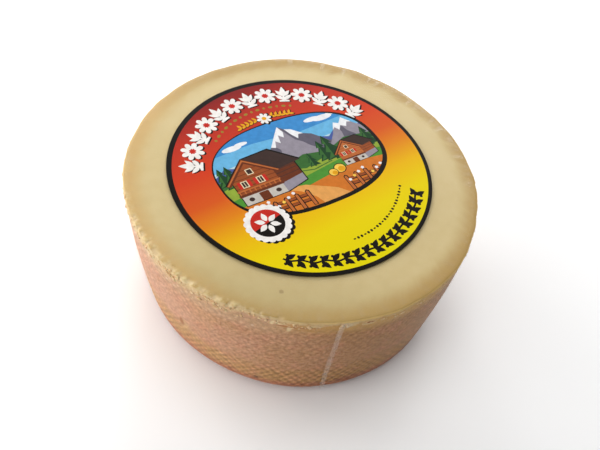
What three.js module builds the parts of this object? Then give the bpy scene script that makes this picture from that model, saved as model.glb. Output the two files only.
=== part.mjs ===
// Half wheel of tete de moine: a small pressed cheese, cut across at mid-height, shrink-wrapped and labelled.
//
// It stands on its rind-covered end with the cut face up. The wheel bulges a little at mid-height, so the cut
// edge is the widest place and the side draws in towards the base. The knife leaves a ragged edge of rind
// round the cut face. Clear film hugs the cheese all over, so cheese and film are one solid here, and the
// film's welded seam is a low ridge down the side. A round paper label lies on the cut face.
//
// Millimetres, +Z up. The origin is under the middle of the cut edge, on the surface that the cheese stands
// on. The label reads upright for someone who looks along +Y.

import * as THREE from "three";
import { mergeVertices } from "three/addons/utils/BufferGeometryUtils.js";

// Driving dimensions.
const RIM_RADIUS = 54; // the cut edge
const BASE_RADIUS = 50; // where the side meets the base's rounded edge
const HEIGHT = 46; // half of a wheel about 92 mm high
const BASE_LEAN = [1.1, -1.6]; // how far the base's centre lies from under the rim's, X and Y
const BASE_ROUND = 4.6; // radius of the worn edge round the base
const RIM_ROUND = 2; // radius of the film's turn over the cut edge
const BARREL = 0.5; // how far the side swells past a straight line, at half height
const FLAT_RADIUS = 43; // the part of the cut face that is dead flat
const LABEL_RADIUS = 40.5;
const LABEL_THICKNESS = 0.2;
const LABEL_OFFSET = [-0.3, 1.5]; // the label isn't quite central

// The ragged edge of rind, hand-cut forms and the film's seam.
const CRAG_COUNT = 70;
const CRAG_DEPTH = 0.5;
const CRAG_WIDTH = [2.6, 6]; // least and most, along the edge
const CRAG_BELOW_RIM = [0.6, 4.2]; // how far under the cut face they sit
const SWELL_DEPTH = 0.3; // slow swellings of the hand-moulded side
const FACE_DIP = 0.25; // how far the film is drawn down between the label and the edge
const SEAM_ANGLE = -111.3; // degrees from +X, near the front
const SEAM_BOW = 0.5; // degrees that the seam bows aside at half height
const SEAM_WIDTH = 1.8;
const SEAM_HEIGHT = 0.5;

// How finely the solid is faceted.
const AROUND = 144;
const ROUND_STEPS = 5;
const SIDE_STEPS = 10;
const FACE_STEPS = 3;
const LABEL_AROUND = 96;

const SEED = 21;
const WELD = 1e-4;
const TURN = Math.PI * 2;

// Small repeatable random numbers from 0 to 1.
function randomNumbers(seed) {
  let state = seed;
  return () => {
    state = (state + 0x6d2b79f5) | 0;
    let mixed = Math.imul(state ^ (state >>> 15), 1 | state);
    mixed = (mixed + Math.imul(mixed ^ (mixed >>> 7), 61 | mixed)) ^ mixed;
    return ((mixed ^ (mixed >>> 14)) >>> 0) / 4294967296;
  };
}

const random = randomNumbers(SEED);
const between = ([least, most]) => least + (most - least) * random();

// Turns an angle difference into the short way round, in radians.
const shortWay = (angle) => Math.atan2(Math.sin(angle), Math.cos(angle));

// The outline from the base's middle, up the side, to the cut face's middle: radius as x and height as y.
function outline() {
  const points = [new THREE.Vector2(0, 0)];
  const sideBottom = new THREE.Vector2(BASE_RADIUS, BASE_ROUND);
  const sideTop = new THREE.Vector2(RIM_RADIUS, HEIGHT - RIM_ROUND);
  for (let i = 0; i <= ROUND_STEPS; i++) {
    const angle = ((i / ROUND_STEPS) * Math.PI) / 2;
    points.push(
      new THREE.Vector2(
        BASE_RADIUS - BASE_ROUND + BASE_ROUND * Math.sin(angle),
        BASE_ROUND - BASE_ROUND * Math.cos(angle),
      ),
    );
  }
  for (let i = 1; i < SIDE_STEPS; i++) {
    const share = i / SIDE_STEPS;
    const point = sideBottom.clone().lerp(sideTop, share);
    point.x += BARREL * Math.sin(Math.PI * share);
    points.push(point);
  }
  for (let i = 0; i <= ROUND_STEPS; i++) {
    const angle = ((i / ROUND_STEPS) * Math.PI) / 2;
    points.push(
      new THREE.Vector2(
        RIM_RADIUS - RIM_ROUND + RIM_ROUND * Math.cos(angle),
        HEIGHT - RIM_ROUND + RIM_ROUND * Math.sin(angle),
      ),
    );
  }
  const faceEdge = RIM_RADIUS - RIM_ROUND;
  for (let i = 1; i <= FACE_STEPS; i++) {
    const share = i / FACE_STEPS;
    const dip = i < FACE_STEPS ? FACE_DIP * Math.sin(Math.PI * share) : 0;
    points.push(new THREE.Vector2(faceEdge + (FLAT_RADIUS - faceEdge) * share, HEIGHT - dip));
  }
  points.push(new THREE.Vector2(0, HEIGHT));
  return points;
}

// Bumps and nicks of the ragged edge, each with its place, size and depth.
const crags = Array.from({ length: CRAG_COUNT }, (_, i) => ({
  angle: ((i + random()) / CRAG_COUNT) * TURN,
  height: HEIGHT - between(CRAG_BELOW_RIM),
  width: between(CRAG_WIDTH),
  depth: CRAG_DEPTH * (random() < 0.35 ? -0.7 * random() : 0.35 + 0.65 * random()),
}));

function cragRelief(angle, height) {
  let relief = 0;
  for (const crag of crags) {
    const along = shortWay(angle - crag.angle) * RIM_RADIUS;
    const up = height - crag.height;
    const near = (along / crag.width) ** 2 + (up / (0.5 * crag.width)) ** 2;
    relief += crag.depth * Math.exp(-4 * near);
  }
  return relief;
}

// The side's slow swellings: a few waves round the wheel, each turned a little with height.
const swells = [2, 3, 5, 8].map((waves) => ({
  waves,
  phase: TURN * random(),
  twist: (random() - 0.5) * 0.05,
  depth: SWELL_DEPTH / Math.sqrt(waves),
}));

function swellRelief(angle, height) {
  return swells.reduce(
    (sum, s) => sum + s.depth * Math.sin(s.waves * angle + s.phase + s.twist * s.waves * height),
    0,
  );
}

const seamAngle = (height) =>
  THREE.MathUtils.degToRad(SEAM_ANGLE - SEAM_BOW * Math.sin((Math.PI * height) / HEIGHT));

function seamRelief(angle, height) {
  const away = Math.abs(shortWay(angle - seamAngle(height))) * RIM_RADIUS;
  const belowRim = THREE.MathUtils.smoothstep(HEIGHT - height, 0, RIM_ROUND);
  return SEAM_HEIGHT * belowRim * Math.max(0, 1 - away / (0.5 * SEAM_WIDTH));
}

// Brings the columns on either side of the seam close to it, so that the ridge is as narrow as the real one.
function columnAngle(angle, height) {
  const step = TURN / AROUND;
  const columns = shortWay(angle - THREE.MathUtils.degToRad(SEAM_ANGLE)) / step;
  const nearest = Math.round(columns);
  if (Math.abs(nearest) > 1) return angle;
  return seamAngle(height) + (nearest * 0.5 * SEAM_WIDTH) / RIM_RADIUS;
}

// A lathe turned about Z, with its doubled seam and middles welded into one closed surface.
function turned(points, segments, startAngle = 0) {
  const lathe = new THREE.LatheGeometry(points, segments, startAngle);
  lathe.deleteAttribute("normal");
  lathe.deleteAttribute("uv");
  lathe.rotateX(Math.PI / 2);
  const welded = mergeVertices(lathe, WELD);
  const index = [...welded.index.array];
  const kept = [];
  for (let i = 0; i < index.length; i += 3) {
    const [a, b, c] = index.slice(i, i + 3);
    if (a !== b && b !== c && c !== a) kept.push(a, b, c);
  }
  welded.setIndex(kept);
  return welded;
}

function cheeseGeometry() {
  const startAngle = THREE.MathUtils.degToRad(SEAM_ANGLE) + Math.PI / 2;
  const geometry = turned(outline(), AROUND, startAngle);
  const position = geometry.attributes.position;
  for (let i = 0; i < position.count; i++) {
    const height = position.getZ(i);
    const plain = Math.hypot(position.getX(i), position.getY(i));
    const onSide = THREE.MathUtils.smoothstep(plain, BASE_RADIUS - BASE_ROUND, BASE_RADIUS);
    const offBase = THREE.MathUtils.smoothstep(height, 0, BASE_ROUND);
    const angle = columnAngle(Math.atan2(position.getY(i), position.getX(i)), height);
    const relief =
      swellRelief(angle, height) + cragRelief(angle, height) + seamRelief(angle, height);
    const radius = plain + relief * onSide * offBase;
    const lean = 1 - height / HEIGHT;
    position.setXYZ(
      i,
      radius * Math.cos(angle) + BASE_LEAN[0] * lean,
      radius * Math.sin(angle) + BASE_LEAN[1] * lean,
      height,
    );
  }
  geometry.computeVertexNormals();
  return geometry;
}

function labelGeometry() {
  return turned(
    [
      new THREE.Vector2(0, 0),
      new THREE.Vector2(LABEL_RADIUS, 0),
      new THREE.Vector2(LABEL_RADIUS, LABEL_THICKNESS),
      new THREE.Vector2(0, LABEL_THICKNESS),
    ],
    LABEL_AROUND,
  );
}

const cheeseMaterial = new THREE.MeshStandardMaterial({
  color: 0xd9bd92,
  roughness: 0.5,
  metalness: 0,
});
const labelMaterial = new THREE.MeshStandardMaterial({
  color: 0xd2452a,
  roughness: 0.45,
  metalness: 0,
});

const halfWheel = new THREE.Group();

const cheese = new THREE.Mesh(cheeseGeometry(), cheeseMaterial);
cheese.name = "wrapped_cheese";
halfWheel.add(cheese);

const label = new THREE.Mesh(labelGeometry(), labelMaterial);
label.name = "label";
label.position.set(LABEL_OFFSET[0], LABEL_OFFSET[1], HEIGHT);
halfWheel.add(label);

export default halfWheel;
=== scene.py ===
# %% [markdown]
# # A half wheel of tete de moine in shrink film
#
# The real object is a small pressed cheese, cut across at mid-height. It stands on its rind with the cut face
# up, clear film hugs it all over, and a round paper label lies on the cut face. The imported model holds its
# true size and form as two plain solids. This script builds the cheese, the film and the label as finished
# pieces on those solids, and never moves or resizes them.

import math

import bpy
import numpy as np
from mathutils import Matrix, Vector, geometry
from mathutils.bvhtree import BVHTree


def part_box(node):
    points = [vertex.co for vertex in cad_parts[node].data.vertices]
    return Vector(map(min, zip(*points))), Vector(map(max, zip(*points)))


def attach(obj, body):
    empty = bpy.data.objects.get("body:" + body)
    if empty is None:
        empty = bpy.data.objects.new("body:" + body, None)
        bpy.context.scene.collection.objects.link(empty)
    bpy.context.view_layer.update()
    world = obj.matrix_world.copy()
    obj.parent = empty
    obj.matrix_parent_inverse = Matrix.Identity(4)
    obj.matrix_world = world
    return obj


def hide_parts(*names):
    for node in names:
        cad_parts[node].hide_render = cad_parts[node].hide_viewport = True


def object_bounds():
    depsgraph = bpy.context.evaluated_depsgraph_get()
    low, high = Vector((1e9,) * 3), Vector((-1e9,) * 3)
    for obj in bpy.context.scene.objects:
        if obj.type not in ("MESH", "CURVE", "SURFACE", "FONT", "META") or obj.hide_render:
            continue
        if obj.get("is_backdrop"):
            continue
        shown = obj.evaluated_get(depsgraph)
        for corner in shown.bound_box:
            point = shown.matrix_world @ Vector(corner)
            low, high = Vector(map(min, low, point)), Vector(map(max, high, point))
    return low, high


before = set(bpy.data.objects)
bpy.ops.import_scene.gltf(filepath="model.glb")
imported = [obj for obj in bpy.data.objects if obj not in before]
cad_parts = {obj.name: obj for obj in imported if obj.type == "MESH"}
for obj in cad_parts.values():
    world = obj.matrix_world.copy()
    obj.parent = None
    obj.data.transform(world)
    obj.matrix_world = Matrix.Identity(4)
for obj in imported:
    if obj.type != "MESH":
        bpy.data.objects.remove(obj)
cad_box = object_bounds()
MM = 0.001
print("packed nodes:", sorted(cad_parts), "box in mm:", [[round(v / MM, 1) for v in c] for c in cad_box])

# %% [markdown]
# ## Camera
#
# The photograph looks down at about 46 degrees, over the lower left of the label, and its frame is rolled a
# little. The camera is set by the direction that it looks from and its distance to the middle of the cut
# face, and then turned about its own axes until the cheese lies in the frame as it does in the photograph.

# %% Camera
rim_centre = Vector((0, 0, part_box("wrapped_cheese")[1].z))
CAMERA_DISTANCE = 215.6 * MM
CAMERA_AZIMUTH = math.radians(-40)
CAMERA_ELEVATION = math.radians(45.65)
CAMERA_YAW, CAMERA_PITCH, CAMERA_ROLL = (math.radians(a) for a in (-0.45, -4.42, 11.01))
CAMERA_LENS = 42.53  # on Blender's sensor, 36 mm wide

outward = Vector((math.sin(CAMERA_AZIMUTH), -math.cos(CAMERA_AZIMUTH), 0)) * math.cos(CAMERA_ELEVATION)
outward.z = math.sin(CAMERA_ELEVATION)
camera = bpy.data.objects.new("camera", bpy.data.cameras.new("camera"))
camera.data.lens = CAMERA_LENS
camera.data.clip_start, camera.data.clip_end = 0.01, 10
camera.matrix_world = (
    Matrix.Translation(rim_centre + outward * CAMERA_DISTANCE)
    @ Matrix.Rotation(CAMERA_AZIMUTH, 4, "Z")
    @ Matrix.Rotation(math.pi / 2 - CAMERA_ELEVATION, 4, "X")
    @ Matrix.Rotation(CAMERA_YAW, 4, "Y")
    @ Matrix.Rotation(CAMERA_PITCH, 4, "X")
    @ Matrix.Rotation(CAMERA_ROLL, 4, "Z")
)
bpy.context.scene.collection.objects.link(camera)
bpy.context.scene.camera = camera
print("camera at, in mm:", [round(v / MM, 1) for v in camera.matrix_world.translation])

# %% [markdown]
# ## Helpers
#
# Every material and every Geometry Nodes tree here is built by the same few functions. One adds a node and
# fills its sockets, with numbers or with links. The others name the sums that come back most often, such as
# how far a point lies from the wheel's axis.


# %% Node helpers
def add(tree, kind, sockets=None, **options):
    """Adds a node, sets its options, and fills its sockets with values or with the outputs to link."""
    made = tree.nodes.new(kind)
    for name, value in options.items():
        setattr(made, name, value)
    for socket, value in (sockets or {}).items():
        if isinstance(value, bpy.types.NodeSocket):
            tree.links.new(value, made.inputs[socket])
        else:
            made.inputs[socket].default_value = value
    return made


def maths(tree, operation, first, second=0.0, third=0.0):
    return add(tree, "ShaderNodeMath", {0: first, 1: second, 2: third}, operation=operation).outputs[0]


def product(tree, first, *others):
    """The factors multiplied one after another."""
    for other in others:
        first = maths(tree, "MULTIPLY", first, other)
    return first


def ranged(tree, value, times, plus):
    """A value stretched and shifted: value * times + plus."""
    return maths(tree, "MULTIPLY_ADD", value, times, plus)


def eased(tree, value, low, high, smooth=True):
    """0 below low, 1 above high, and an even or smooth rise between. low may be the higher of the two."""
    step = "SMOOTHSTEP" if smooth else "LINEAR"
    sockets = {"Value": value, "From Min": low, "From Max": high}
    return add(tree, "ShaderNodeMapRange", sockets, interpolation_type=step).outputs[0]


def separate(tree, vector):
    return add(tree, "ShaderNodeSeparateXYZ", {0: vector}).outputs


def combine(tree, x=0.0, y=0.0, z=0.0):
    return add(tree, "ShaderNodeCombineXYZ", {"X": x, "Y": y, "Z": z}).outputs[0]


def vectors(tree, operation, first, second=None, scale=None):
    """Vector Math. It gives a number for LENGTH, DISTANCE and DOT_PRODUCT, and a vector otherwise."""
    sockets = {0: first, 1: second, "Scale": scale}
    sockets = {name: value for name, value in sockets.items() if value is not None}
    made = add(tree, "ShaderNodeVectorMath", sockets, operation=operation)
    return made.outputs["Value" if operation in ("LENGTH", "DISTANCE", "DOT_PRODUCT") else "Vector"]


def round_the_axis(tree, place):
    """A place's three parts, its flat part, and how far it lies from the wheel's axis."""
    parts = separate(tree, place)
    flat = combine(tree, parts["X"], parts["Y"])
    return parts, flat, vectors(tree, "LENGTH", flat)


def towards(tree, parts, x, y):
    """How far a place lies in the flat direction (x, y)."""
    return ranged(tree, parts["X"], x, product(tree, parts["Y"], y))


def noise(tree, vector, scale, detail=3.0, roughness=0.5, shift=0.0):
    """A soft noise from 0 to 1. scale is features per metre, and another shift gives another pattern."""
    sockets = {"Vector": vector, "W": shift, "Scale": scale, "Detail": detail, "Roughness": roughness}
    return add(tree, "ShaderNodeTexNoise", sockets, noise_dimensions="4D").outputs[0]


print("node helpers ready")

# %% [markdown]
# A Geometry Nodes tree gets named inputs, so that its sizes can be changed in Blender's modifier panel. It
# ends by making its instances real and setting a material. The tree is then run on an object, and the result
# is kept as a plain mesh, because the exported model can't hold instances.


# %% Tree and piece helpers
def new_tree(name, inputs):
    """A Geometry Nodes tree with named inputs, given as name: (socket kind, default value)."""
    tree = bpy.data.node_groups.new(name, "GeometryNodeTree")
    for way in ("INPUT", "OUTPUT"):
        tree.interface.new_socket("Geometry", in_out=way, socket_type="NodeSocketGeometry")
    for label, (kind, value) in inputs.items():
        socket = tree.interface.new_socket(label, in_out="INPUT", socket_type="NodeSocket" + kind)
        if value is not None:
            socket.default_value = value
    return tree, add(tree, "NodeGroupInput").outputs, add(tree, "NodeGroupOutput").inputs["Geometry"]


def store(tree, shape, name, value):
    """Keeps a value at each point, under a name that a material can read."""
    sockets = {"Geometry": shape, "Name": name, "Value": value}
    kind = "GeometryNodeStoreNamedAttribute"
    return add(tree, kind, sockets, data_type="FLOAT", domain="POINT").outputs[0]


def along_normal(tree, shape, distance):
    """Moves each point across the surface, outwards by `distance`."""
    normal = add(tree, "GeometryNodeInputNormal").outputs[0]
    sockets = {"Geometry": shape, "Offset": vectors(tree, "SCALE", normal, scale=distance)}
    return add(tree, "GeometryNodeSetPosition", sockets).outputs[0]


def end_tree(tree, shape, finish, result):
    """Makes instances real, sets the material, and ends the tree."""
    shape = add(tree, "GeometryNodeRealizeInstances", {"Geometry": shape}).outputs[0]
    shape = add(tree, "GeometryNodeSetMaterial", {"Geometry": shape, "Material": finish}).outputs[0]
    tree.links.new(shape, result)


def run_tree(piece, tree, values):
    """Puts the tree on the piece with these inputs, and keeps the result as the piece's own plain mesh."""
    modifier = piece.modifiers.new(tree.name, "NODES")
    modifier.node_group = tree
    for socket in tree.interface.items_tree:
        if socket.in_out == "INPUT" and socket.name in values:
            modifier[socket.identifier] = values[socket.name]
    graph = bpy.context.evaluated_depsgraph_get()
    mesh = bpy.data.meshes.new_from_object(piece.evaluated_get(graph), depsgraph=graph)
    piece.modifiers.remove(modifier)
    piece.data = mesh
    mesh.name = piece.name
    print(f"{tree.name}: {len(mesh.vertices)} points, {len(mesh.polygons)} faces on {piece.name}")


def new_piece(name, points, faces):
    mesh = bpy.data.meshes.new(name)
    mesh.from_pydata(points, [], faces)
    mesh.validate()
    mesh.shade_smooth()
    piece = bpy.data.objects.new(name, mesh)
    bpy.context.scene.collection.objects.link(piece)
    return piece


# %% [markdown]
# ## The form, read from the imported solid
#
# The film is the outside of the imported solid, and the cheese lies a third of a millimetre inside it. Rays
# shot from inside the wheel find that outside: straight down under the base, fanned round the base's worn
# edge, straight out along the side, fanned again over the cut edge, and straight up to the cut face. So every
# piece follows the same slightly uneven hand-made wheel. The welded seam is a ridge of the film alone, and
# the cheese runs smooth beneath it.

# %% Rays to the outside
BASE_LEAN = (1.1 * MM, -1.6 * MM)  # how far the base's centre lies from under the cut edge's
SEAM_ANGLE, SEAM_BOW = math.radians(-111.3), math.radians(0.5)
SEAM_CLEAR = math.radians(2.6)
CORE_RADIUS = 45.4 * MM  # the rays along the side start here
BASE_CORE, RIM_CORE = 4.6 * MM, 44 * MM
RIM_CORE_RADIUS = 52 * MM
height = rim_centre.z

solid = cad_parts["wrapped_cheese"].data
solid.calc_loop_triangles()
triangles = [tuple(triangle.vertices) for triangle in solid.loop_triangles]
skin_tree = BVHTree.FromPolygons([v.co for v in solid.vertices], triangles)
print("packed wheel:", len(triangles), "triangles")


def side_rays(rise, across_top=()):
    """Start and direction of each ray up the profile, as radius and height, with `rise` between side rows."""
    fan = [math.radians(a) for a in range(-80, 0, 10)]
    rays = [(CORE_RADIUS, BASE_CORE, math.cos(a), math.sin(a)) for a in fan]
    rows = round((RIM_CORE - BASE_CORE) / rise)
    for row in range(rows + 1):
        rays.append((CORE_RADIUS, BASE_CORE + (RIM_CORE - BASE_CORE) * row / rows, 1.0, 0.0))
    fan = [math.radians(a) for a in (14, 28, 42, 56, 70, 83)]
    rays += [(RIM_CORE_RADIUS, RIM_CORE, math.cos(a), math.sin(a)) for a in fan]
    return rays + [(radius * MM, RIM_CORE, 0.0, 1.0) for radius in across_top]


def skin(rays, columns):
    """Points where the rays leave the solid, as an array of profile rows by columns round the wheel."""
    turns = np.arange(columns) * (2 * math.pi / columns)
    found = np.zeros((len(rays), columns, 3))
    for row, (radius, level, out, up) in enumerate(rays):
        lean = 1 - level / height
        for column, turn in enumerate(turns):
            c, s = math.cos(turn), math.sin(turn)
            start = Vector((radius * c + BASE_LEAN[0] * lean, radius * s + BASE_LEAN[1] * lean, level))
            hit = skin_tree.ray_cast(start, Vector((out * c, out * s, up)))[0]
            found[row, column] = hit
    return found


def over_the_seam(points):
    """Bridges the columns under the film's welded seam, so that the ridge isn't in the cheese."""
    columns = points.shape[1]
    step = 2 * math.pi / columns
    first = math.floor((SEAM_ANGLE - SEAM_CLEAR) / step)
    last = math.ceil((SEAM_ANGLE + SEAM_CLEAR) / step)
    for column in range(first + 1, last):
        share = (column - first) / (last - first)
        before, after = points[:, first % columns], points[:, last % columns]
        points[:, column % columns] = before * (1 - share) + after * share
    return points


def smoothed(points, reach):
    """Takes the solid's flat facets out by a soft average over `reach` columns each way."""
    weights = np.hanning(2 * reach + 3)[1:-1]
    shifts = range(-reach, reach + 1)
    return sum(w * np.roll(points, s, axis=1) for w, s in zip(weights / weights.sum(), shifts))


def inwards(points, depth):
    """Moves each point into the wheel, across the surface, by `depth`."""
    around = np.roll(points, -1, axis=1) - np.roll(points, 1, axis=1)
    along = np.gradient(points, axis=0)
    across = np.cross(around, along)
    across /= np.linalg.norm(across, axis=2, keepdims=True)
    return points - across * depth


# %% [markdown]
# ## The closed skin
#
# The side needs narrow faces, because the cloth's imprint is only a millimetre and a half wide, but the flat
# cut face and the base don't. So the side is a fine grid, and towards both middles each ring keeps every
# second point of the ring outside it, until few are left. The result is one closed surface.

# %% Grid with thinning rings
FACE_RINGS = (49.5, 48, 46.5, 44, 40, 32, 20)  # radii in mm of the rings on the flat faces
BASE_RINGS = (44, 42, 38, 30, 18)
FEWEST = 36  # points in a ring


def closed_skin(side, face_rings, base_rings, depth):
    """Points and faces of the side grid, closed by thinning rings above and below."""
    rows, columns = side.shape[:2]
    points = [tuple(p) for p in side.reshape(-1, 3)]
    faces = []
    for row in range(rows - 1):
        for column in range(columns):
            beside = (column + 1) % columns
            low, high = row * columns, (row + 1) * columns
            faces.append((low + column, low + beside, high + beside, high + column))

    def close(ring, radii, level, lean, upward):
        for radius in radii:
            count = len(ring)
            if count % 2 == 0 and count > 2 * FEWEST:
                count = max(count // 2, FEWEST)
            start = len(points)
            for i in range(count):
                turn = 2 * math.pi * i / count
                x = radius * MM * math.cos(turn) + lean[0]
                y = radius * MM * math.sin(turn) + lean[1]
                points.append((x, y, level))
            inner = list(range(start, start + count))
            ratio = len(ring) // count
            for i in range(count):
                outer = [ring[(i * ratio + k) % len(ring)] for k in range(ratio + 1)]
                face = [*outer, inner[(i + 1) % count], inner[i]]
                faces.append(tuple(face if upward else reversed(face)))
            ring = inner
        points.append((lean[0], lean[1], level))
        for i in range(len(ring)):
            face = (ring[i], ring[(i + 1) % len(ring)], len(points) - 1)
            faces.append(face if upward else tuple(reversed(face)))

    top = list(range((rows - 1) * columns, rows * columns))
    close(top, face_rings, height - depth, (0, 0), True)
    close(list(range(columns)), base_rings, depth, BASE_LEAN, False)
    return points, faces


print("inner rings:", len(FACE_RINGS), "above and", len(BASE_RINGS), "below")

# %% [markdown]
# ## Cheese
#
# The cheese is one body. A knife leaves a sharper edge than the film that spans it, so the last rows of the
# side are laid anew in a smaller round. A few fine rows follow on the cut face beside the edge, because chips
# will bite into it there.

# %% Cheese body
SIDE_COLUMNS = 888
SIDE_RISE = 0.45 * MM
SMOOTH_REACH = 4  # columns
FILM_GAP = 0.34 * MM  # the cheese's depth under the outside
CUT_EDGE_ROUND = 0.5 * MM
CUT_EDGE_ROWS = 6
FIRST_LEAN, WHOLE_LEAN = 4, 82  # degrees, of the edge's first row and from there to its last
SHELF_RADII = (52.2, 51.7, 51.2, 50.6)  # mm


def spokes(columns):
    """Flat directions from the axis, one for each column."""
    turns = np.arange(columns) * (2 * math.pi / columns)
    return np.stack([np.cos(turns), np.sin(turns), np.zeros(columns)], axis=1)


def cut_square(side, rows):
    """Gives the last rows, over the cut edge, a smaller round than the film's."""
    outwards = spokes(side.shape[1])
    core = side[-rows - 1] - outwards * CUT_EDGE_ROUND
    core[:, 2] = height - FILM_GAP - CUT_EDGE_ROUND
    for row in range(rows):
        a = math.radians(FIRST_LEAN + WHOLE_LEAN * row / (rows - 1))
        side[row - rows] = core + outwards * CUT_EDGE_ROUND * math.cos(a)
        side[row - rows, :, 2] += CUT_EDGE_ROUND * math.sin(a)
    return side


def with_shelf(side):
    """Adds fine rows on the cut face beside the edge."""
    rows = []
    for radius in SHELF_RADII:
        row = spokes(side.shape[1]) * radius * MM
        row[:, 2] = height - FILM_GAP
        rows.append(row)
    return np.concatenate([side, rows])


outside = smoothed(over_the_seam(skin(side_rays(SIDE_RISE), SIDE_COLUMNS)), SMOOTH_REACH)
cheese_side = with_shelf(cut_square(inwards(outside, FILM_GAP), CUT_EDGE_ROWS))
cheese = new_piece("cheese", *closed_skin(cheese_side, FACE_RINGS, BASE_RINGS, FILM_GAP))
print("cheese blank:", len(cheese.data.vertices), "points")

# %% [markdown]
# ## Cloth imprint
#
# The side carries the imprint of the cloth that lined the cheese's mould: raised spots in rows, with each row
# set half a spot aside. A bump in the material would show it too, but not on the outline or in the exported
# mesh. It follows a rule, so Geometry Nodes raise it on the fine side grid. Two cosines, one round the wheel
# and one up it, multiply to the spots. They are strongest low down, where the cloth was pressed hardest.

# %% Cloth imprint
THREADS_ROUND = 222  # an even number, so that the weave meets itself
WEAVE_WANDER = 2.2  # radians from the loosest thread to the tightest
imprint_tree, given, result = new_tree(
    "cloth imprint and torn edge",
    {
        "Threads Round": ("Int", THREADS_ROUND),
        "Row Pitch": ("Float", 1.8 * MM),
        "Imprint Depth": ("Float", 0.09 * MM),
        "Torn Depth": ("Float", 0.24 * MM),
        "Chip Depth": ("Float", 0.3 * MM),
        "Cut Height": ("Float", height),
        "Seed": ("Float", 3.0),
        "Finish": ("Material", None),
    },
)
t = imprint_tree
place = add(t, "GeometryNodeInputPosition").outputs[0]
parts, flat, from_axis = round_the_axis(t, place)
turn = maths(t, "ARCTAN2", parts["Y"], parts["X"])
level = parts["Z"]


def seeded_noise(scale, detail=2.0, shift=0.0):
    return noise(t, place, scale, detail, 0.5, maths(t, "ADD", given["Seed"], shift))


wander = product(t, maths(t, "SUBTRACT", seeded_noise(90), 0.5), WEAVE_WANDER)
threads = product(t, turn, product(t, given["Threads Round"], 0.5))
warp = maths(t, "COSINE", maths(t, "ADD", threads, wander))
lift = product(t, maths(t, "DIVIDE", level, given["Row Pitch"]), math.pi)
weft = maths(t, "COSINE", maths(t, "ADD", lift, product(t, wander, 0.7)))
spots = product(t, warp, weft)

on_side = product(t, eased(t, level, 1.5 * MM, 5 * MM), eased(t, level, 43.5 * MM, 41 * MM))
low_side = eased(t, level, 22 * MM, 13 * MM)
high_side = product(t, eased(t, level, 28 * MM, 36 * MM), 0.45)
patchy = ranged(t, eased(t, seeded_noise(90, 3, 5), 0.35, 0.65), 0.3, 0.1)
strength = maths(t, "MAXIMUM", maths(t, "MAXIMUM", low_side, high_side), patchy)
uneven = ranged(t, eased(t, seeded_noise(260, 2, 6), 0.3, 0.7), 0.6, 0.4)
imprint = product(t, spots, product(t, strength, uneven, on_side))
raised = product(t, imprint, given["Imprint Depth"])
print("imprint:", THREADS_ROUND, "threads round the side")

# %% [markdown]
# ## Torn edge
#
# A knife tears dry rind, so a ragged band under the cut is rough, and wider at the back left. At the left it
# has also broken chips out of the edge, and the whole rind has small pocks. These three are noises that are
# kept to their bands. The band is stored beside the imprint, so that the material can colour both.

# %% Torn band, chips and pocks
below_cut = maths(t, "SUBTRACT", given["Cut Height"], level)
wide = ranged(t, eased(t, towards(t, parts, -0.7, 0.45), 5 * MM, 50 * MM), 1.3 * MM, 1.3 * MM)
depth = product(t, wide, ranged(t, seeded_noise(160, 3, 8), 1.6, 0.2))
past = maths(t, "SUBTRACT", below_cut, depth)
band = product(t, eased(t, below_cut, 0.4 * MM, 0.9 * MM), eased(t, past, 0.5 * MM, -0.2 * MM))
torn = product(t, eased(t, seeded_noise(700, 3, 9), 0.3, 0.55), band)
ragged = product(t, maths(t, "SUBTRACT", torn, product(t, band, 0.45)), given["Torn Depth"])

chip_band = product(t, eased(t, from_axis, 52 * MM, 53 * MM), eased(t, below_cut, 4.5 * MM, 2.4 * MM))
chips = product(t, eased(t, seeded_noise(620, 3, 21), 0.48, 0.62), chip_band)
chipped = ranged(t, eased(t, towards(t, parts, -0.88, -0.3), 38 * MM, 46 * MM), 0.95, 0.05)
chips = product(t, chips, chipped, product(t, given["Chip Depth"], -1.0))
pocks = product(t, eased(t, seeded_noise(420, 4, 13), 0.68, 0.8), product(t, on_side, -0.12 * MM))

offset = maths(t, "ADD", maths(t, "ADD", raised, ragged), maths(t, "ADD", pocks, chips))
shape = store(t, store(t, given["Geometry"], "imprint", imprint), "torn", torn)
end_tree(t, along_normal(t, shape, offset), given["Finish"], result)
print("imprint and torn edge:", len(t.nodes), "nodes")

# %% [markdown]
# ## Cheese material
#
# One material covers the body, because the paste turns into rind within a millimetre and the border is
# ragged. It could be painted as a picture, but noises and distances in the cheese's own millimetres stay
# sharp at any size and need no unwrapping. First come a few helpers and the colours.


# %% Material helpers
def new_material(name):
    material = bpy.data.materials.new(name)
    material.use_nodes = True
    tree = material.node_tree
    tree.nodes.clear()
    return material, tree, add(tree, "ShaderNodeOutputMaterial").inputs["Surface"]


def own_place(tree):
    return add(tree, "ShaderNodeTexCoord").outputs["Object"]


def attribute(tree, name, output="Fac"):
    return add(tree, "ShaderNodeAttribute", attribute_name=name).outputs[output]


def mixed(tree, share, first, second, blend="MIX"):
    sockets = {0: share, 6: first, 7: second}
    return add(tree, "ShaderNodeMix", sockets, data_type="RGBA", blend_type=blend).outputs[2]


def ramp(tree, value, stops):
    made = add(tree, "ShaderNodeValToRGB", {0: value})
    elements = made.color_ramp.elements
    while len(elements) < len(stops):
        elements.new(1.0)
    for element, (position, colour) in zip(elements, stops):
        element.position, element.color = position, colour
    return made.outputs[0]


def bumped(tree, height_of, strength, distance):
    sockets = {"Strength": strength, "Distance": distance, "Height": height_of}
    return add(tree, "ShaderNodeBump", sockets).outputs[0]


def linear(red, green, blue):
    """A colour as a screen shows it, 0 to 255, turned into the light values that shaders use."""
    shares = [c / 255 for c in (red, green, blue)]
    return tuple(s / 12.92 if s <= 0.04045 else ((s + 0.055) / 1.055) ** 2.4 for s in shares) + (1.0,)


print("material helpers ready")

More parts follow.
